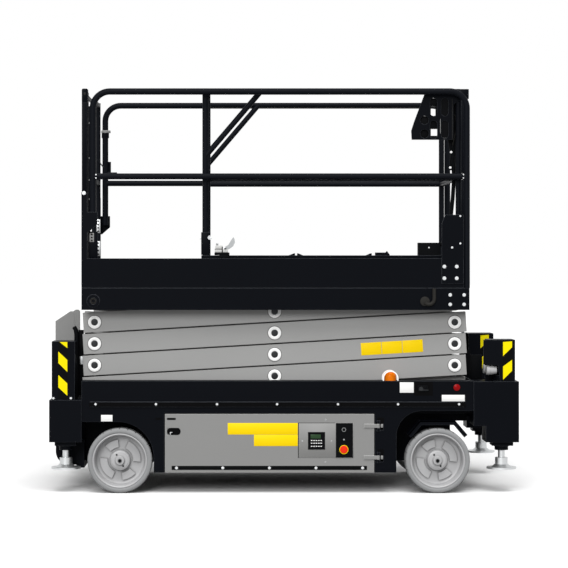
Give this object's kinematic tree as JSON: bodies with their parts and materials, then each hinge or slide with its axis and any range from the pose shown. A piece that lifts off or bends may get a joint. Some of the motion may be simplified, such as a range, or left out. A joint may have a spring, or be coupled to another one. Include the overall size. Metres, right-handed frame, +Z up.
{
  "type": "scissor lift",
  "caption": "Self-propelled scissor lift with stacked arms, guard-railed platform, sliding deck, swing gate, steered wheels, swing-out side trays and levelling jacks.",
  "frame": {"origin": "on the ground under the middle of the machine's outer box", "axes": "+X along the machine to its steered end, +Y across to the far side, +Z up"},
  "size_m": [2.762, 1.2, 2.385],
  "materials": {
    "black_paint": "satin",
    "grey_paint": "satin",
    "deck_paint": "matte",
    "tyre": "matte",
    "rim_paint": "satin",
    "steel": "satin",
    "chrome": "gloss",
    "amber": "gloss",
    "white_paint": "satin",
    "dark_plastic": "matte",
    "battery": "matte"
  },
  "bodies": {
    "chassis": {"chassis_floor": "black_paint", "chassis_channel": "black_paint", "chassis_wells": "black_paint", "end_beams": "black_paint", "tie_downs": "black_paint", "chassis_sides": "black_paint", "jack_boxes": "black_paint", "jack_covers": "black_paint", "ladder": "grey_paint", "steer_axle": "black_paint", "rear_axle": "black_paint", "beacon_lamp": "amber", "beacon_guard": "white_paint"},
    "wheel_rear_near": {"tyre_rear_near": "tyre", "rim_rear_near": "rim_paint"},
    "wheel_rear_far": {"tyre_rear_far": "tyre", "rim_rear_far": "rim_paint"},
    "steer_near": {"knuckle_near": "black_paint", "fender_near": "black_paint"},
    "steer_far": {"knuckle_far": "black_paint", "fender_far": "black_paint"},
    "wheel_front_near": {"tyre_front_near": "tyre", "rim_front_near": "rim_paint"},
    "wheel_front_far": {"tyre_front_far": "tyre", "rim_front_far": "rim_paint"},
    "track_rod": {"tie_rod": "steel"},
    "jack_1": {"jack_rear_near": "steel"},
    "jack_2": {"jack_rear_far": "steel"},
    "jack_3": {"jack_front_near": "steel"},
    "jack_4": {"jack_front_far": "steel"},
    "door_near": {"battery_door": "grey_paint", "battery_pack": "battery", "ground_controls": "dark_plastic"},
    "door_far": {"hydraulic_door": "grey_paint", "hydraulic_unit": "battery"},
    "outer_1": {"outer_arm_1": "grey_paint"},
    "outer_2": {"outer_arm_2": "grey_paint"},
    "outer_3": {"outer_arm_3": "grey_paint"},
    "outer_4": {"outer_arm_4": "grey_paint"},
    "inner_1": {"inner_arm_1": "grey_paint"},
    "inner_2": {"inner_arm_2": "grey_paint"},
    "inner_3": {"inner_arm_3": "grey_paint"},
    "inner_4": {"inner_arm_4": "grey_paint"},
    "barrel": {"lift_barrel": "black_paint"},
    "rod": {"lift_rod": "chrome"},
    "platform": {"platform_frame": "black_paint", "main_deck": "deck_paint", "main_rails": "black_paint"},
    "gate": {"gate": "black_paint"},
    "extension": {"sliding_deck": "deck_paint", "sliding_rails": "black_paint", "control_bracket": "black_paint", "control_box": "dark_plastic", "deck_lock": "white_paint"}
  },
  "joints": [
    {"name": "wheel_rear_near_spin", "type": "hinge", "parent": "chassis", "child": "wheel_rear_near", "pos_m": [-0.966, -0.5365, 0.1905], "axis": [0, 1, 0], "continuous": true},
    {"name": "wheel_rear_far_spin", "type": "hinge", "parent": "chassis", "child": "wheel_rear_far", "pos_m": [-0.966, 0.5365, 0.1905], "axis": [0, 1, 0], "continuous": true},
    {"name": "steer", "type": "hinge", "parent": "chassis", "child": "steer_near", "pos_m": [0.904, -0.435, 0.1905], "axis": [0, 0, 1], "range_deg": [-60, 60]},
    {"name": "steer_far_turn", "type": "hinge", "parent": "chassis", "child": "steer_far", "pos_m": [0.904, 0.435, 0.1905], "axis": [0, 0, 1], "range_deg": [-60, 60]},
    {"name": "track_rod_turn", "type": "hinge", "parent": "steer_near", "child": "track_rod", "pos_m": [0.754, -0.435, 0.138], "axis": [0, 0, -1], "range_deg": [-60, 60]},
    {"name": "wheel_front_near_spin", "type": "hinge", "parent": "steer_near", "child": "wheel_front_near", "pos_m": [0.904, -0.5365, 0.1905], "axis": [0, 1, 0], "continuous": true},
    {"name": "wheel_front_far_spin", "type": "hinge", "parent": "steer_far", "child": "wheel_front_far", "pos_m": [0.904, 0.5365, 0.1905], "axis": [0, 1, 0], "continuous": true},
    {"name": "jack_rear_near_down", "type": "slide", "parent": "chassis", "child": "jack_1", "axis": [0, 0, -1], "range_m": [0, 0.3]},
    {"name": "jack_rear_far_down", "type": "slide", "parent": "chassis", "child": "jack_2", "axis": [0, 0, -1], "range_m": [0, 0.3]},
    {"name": "jack_front_near_down", "type": "slide", "parent": "chassis", "child": "jack_3", "axis": [0, 0, -1], "range_m": [0, 0.3]},
    {"name": "jack_front_far_down", "type": "slide", "parent": "chassis", "child": "jack_4", "axis": [0, 0, -1], "range_m": [0, 0.3]},
    {"name": "door_near_open", "type": "hinge", "parent": "chassis", "child": "door_near", "pos_m": [0.556, -0.592, 0.3], "axis": [0, 0, 1], "range_deg": [0, 100]},
    {"name": "door_far_open", "type": "hinge", "parent": "chassis", "child": "door_far", "pos_m": [0.556, 0.592, 0.3], "axis": [0, 0, -1], "range_deg": [0, 100]},
    {"name": "lift", "type": "hinge", "parent": "chassis", "child": "outer_1", "pos_m": [-1.123, 0, 0.618], "axis": [0, -1, 0], "range_deg": [0, 55]},
    {"name": "cross_1", "type": "hinge", "parent": "outer_1", "child": "inner_1", "pos_m": [-0.053, 0, 0.682], "axis": [0, 1, 0], "range_deg": [0, 110]},
    {"name": "link_1", "type": "hinge", "parent": "inner_1", "child": "outer_2", "pos_m": [-1.123, 0, 0.746], "axis": [0, -1, 0], "range_deg": [0, 110]},
    {"name": "cross_2", "type": "hinge", "parent": "outer_2", "child": "inner_2", "pos_m": [-0.053, 0, 0.81], "axis": [0, 1, 0], "range_deg": [0, 110]},
    {"name": "link_2", "type": "hinge", "parent": "inner_2", "child": "outer_3", "pos_m": [-1.123, 0, 0.874], "axis": [0, -1, 0], "range_deg": [0, 110]},
    {"name": "cross_3", "type": "hinge", "parent": "outer_3", "child": "inner_3", "pos_m": [-0.053, 0, 0.938], "axis": [0, 1, 0], "range_deg": [0, 110]},
    {"name": "link_3", "type": "hinge", "parent": "inner_3", "child": "outer_4", "pos_m": [-1.123, 0, 1.002], "axis": [0, -1, 0], "range_deg": [0, 110]},
    {"name": "cross_4", "type": "hinge", "parent": "outer_4", "child": "inner_4", "pos_m": [-0.053, 0, 1.066], "axis": [0, 1, 0], "range_deg": [0, 110]},
    {"name": "platform_level", "type": "hinge", "parent": "inner_4", "child": "platform", "pos_m": [-1.123, 0, 1.13], "axis": [0, -1, 0], "range_deg": [0, 55]},
    {"name": "barrel_tilt", "type": "hinge", "parent": "chassis", "child": "barrel", "pos_m": [0.5, 0, 0.4], "axis": [0, 1, 0], "range_deg": [0, 11.03]},
    {"name": "rod_out", "type": "slide", "parent": "barrel", "child": "rod", "axis": [-0.9928, 0, 0.1202], "range_m": [0, 0.14997]},
    {"name": "gate_open", "type": "hinge", "parent": "platform", "child": "gate", "pos_m": [-1.172, -0.496, 1.8], "axis": [0, 0, -1], "range_deg": [0, 90]},
    {"name": "deck_slide", "type": "slide", "parent": "platform", "child": "extension", "axis": [1, 0, 0], "range_m": [0, 0.9]}
  ],
  "couplings": [
    {"joint": "steer_far_turn", "follows": "steer", "ratio": 1},
    {"joint": "track_rod_turn", "follows": "steer", "ratio": 1},
    {"joint": "cross_1", "follows": "lift", "ratio": 2},
    {"joint": "link_1", "follows": "lift", "ratio": 2},
    {"joint": "cross_2", "follows": "lift", "ratio": 2},
    {"joint": "link_2", "follows": "lift", "ratio": 2},
    {"joint": "cross_3", "follows": "lift", "ratio": 2},
    {"joint": "link_3", "follows": "lift", "ratio": 2},
    {"joint": "cross_4", "follows": "lift", "ratio": 2},
    {"joint": "platform_level", "follows": "lift", "ratio": 1},
    {"joint": "barrel_tilt", "follows": "lift", "ratio": 0.20038},
    {"joint": "rod_out", "follows": "lift", "m_per_rad": 0.15602}
  ]
}
